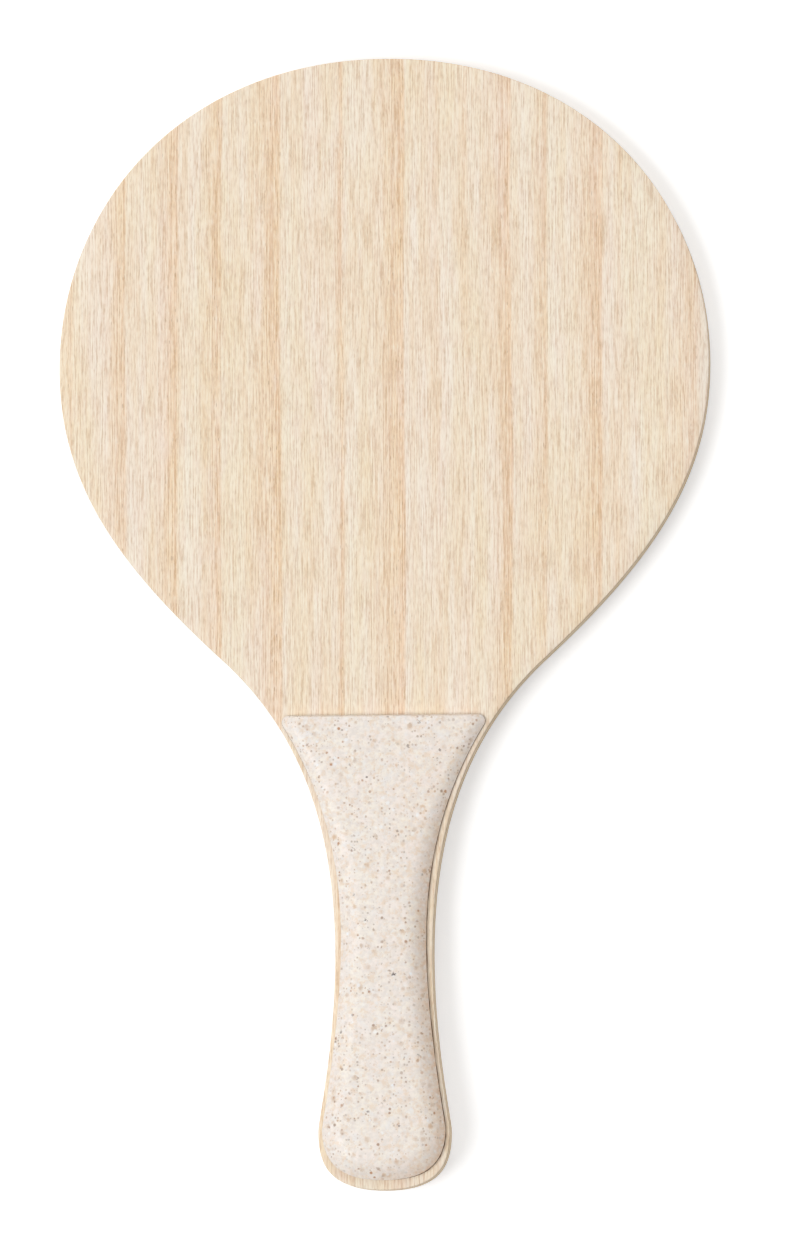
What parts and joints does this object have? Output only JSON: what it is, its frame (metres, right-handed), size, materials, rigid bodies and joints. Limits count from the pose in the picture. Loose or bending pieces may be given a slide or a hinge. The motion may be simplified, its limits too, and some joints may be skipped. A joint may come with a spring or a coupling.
{
  "type": "frescobol racket",
  "caption": "Wooden beach racket with a broad rounded head, a laminated board with an eased edge, and a speckled grip scale bonded to each side of its flared handle.",
  "frame": {"origin": "under the middle of the racket, level with the flat crown of the back scale", "axes": "+Y from the butt to the head's tip, +X across the head, +Z out of the front face"},
  "size_m": [0.19, 0.33, 0.0166],
  "materials": {
    "face_veneer": "pale straight-grained wood, satin",
    "crossband": "bare end grain, tan",
    "core": "bare light wood, sanded",
    "grip_scale": "off-white with fine tan, brown and grey specks, satin",
    "adhesive": "dried contact adhesive, brown"
  },
  "bodies": {
    "root": {"face_veneer_front": "face_veneer", "crossband_front": "crossband", "core_ply": "core", "crossband_back": "crossband", "face_veneer_back": "face_veneer", "grip_adhesive_front": "adhesive", "grip_adhesive_back": "adhesive", "grip_scale_front": "grip_scale", "grip_scale_back": "grip_scale"}
  },
  "joints": []
}
